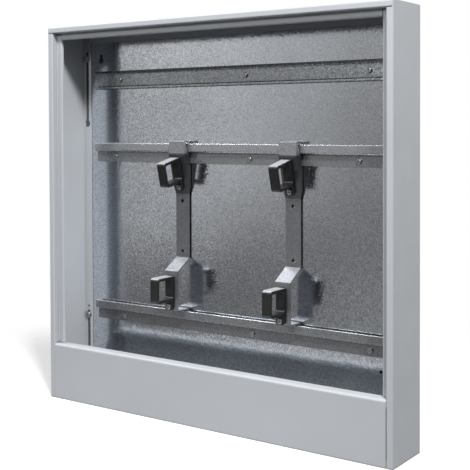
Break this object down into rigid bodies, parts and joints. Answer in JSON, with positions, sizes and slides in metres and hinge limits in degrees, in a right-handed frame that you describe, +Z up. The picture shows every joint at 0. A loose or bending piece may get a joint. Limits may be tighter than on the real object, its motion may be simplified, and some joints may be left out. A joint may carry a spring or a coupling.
{
  "type": "distribution cabinet",
  "caption": "Open-fronted shallow steel wall cabinet with a lower front panel, galvanised back, cross rails and sliding brackets whose black clamps hold heating manifold bars.",
  "frame": {"origin": "centre of the bounding box's bottom face", "axes": "+Z up, -Y out of the open front, +Y to the wall, +X to the right seen from the front"},
  "size_m": [0.72, 0.1, 0.705],
  "materials": {
    "painted_shell": "semi-matt light grey",
    "galvanised_panel": "spangled zinc coat",
    "galvanised_rail": "zinc coat",
    "galvanised_strap": "zinc coat",
    "zinc_screw": "bright zinc",
    "black_plastic": "matt black"
  },
  "bodies": {
    "cabinet": {"left_side_panel": "painted_shell", "right_side_panel": "painted_shell", "top_panel": "painted_shell", "plinth_panel": "painted_shell", "back_panel": "galvanised_panel", "din_rail": "galvanised_rail", "upper_support_rail": "galvanised_rail", "lower_support_rail": "galvanised_rail", "din_rail_screws": "zinc_screw", "upper_rail_screws": "zinc_screw", "lower_rail_screws": "zinc_screw", "left_frame_screws": "zinc_screw", "right_frame_screws": "zinc_screw", "left_frame_washers": "zinc_screw", "right_frame_washers": "zinc_screw"},
    "left_bracket_body": {"left_bracket": "galvanised_strap", "left_upper_clamp": "black_plastic", "left_lower_clamp": "black_plastic", "left_clamp_screws": "zinc_screw"},
    "right_bracket_body": {"right_bracket": "galvanised_strap", "right_upper_clamp": "black_plastic", "right_lower_clamp": "black_plastic", "right_clamp_screws": "zinc_screw"}
  },
  "joints": [
    {"name": "left_bracket_slide", "type": "slide", "parent": "cabinet", "child": "left_bracket_body", "axis": [1, 0, 0], "range_m": [-0.19, 0.09]},
    {"name": "right_bracket_slide", "type": "slide", "parent": "cabinet", "child": "right_bracket_body", "axis": [1, 0, 0], "range_m": [-0.09, 0.16]}
  ]
}
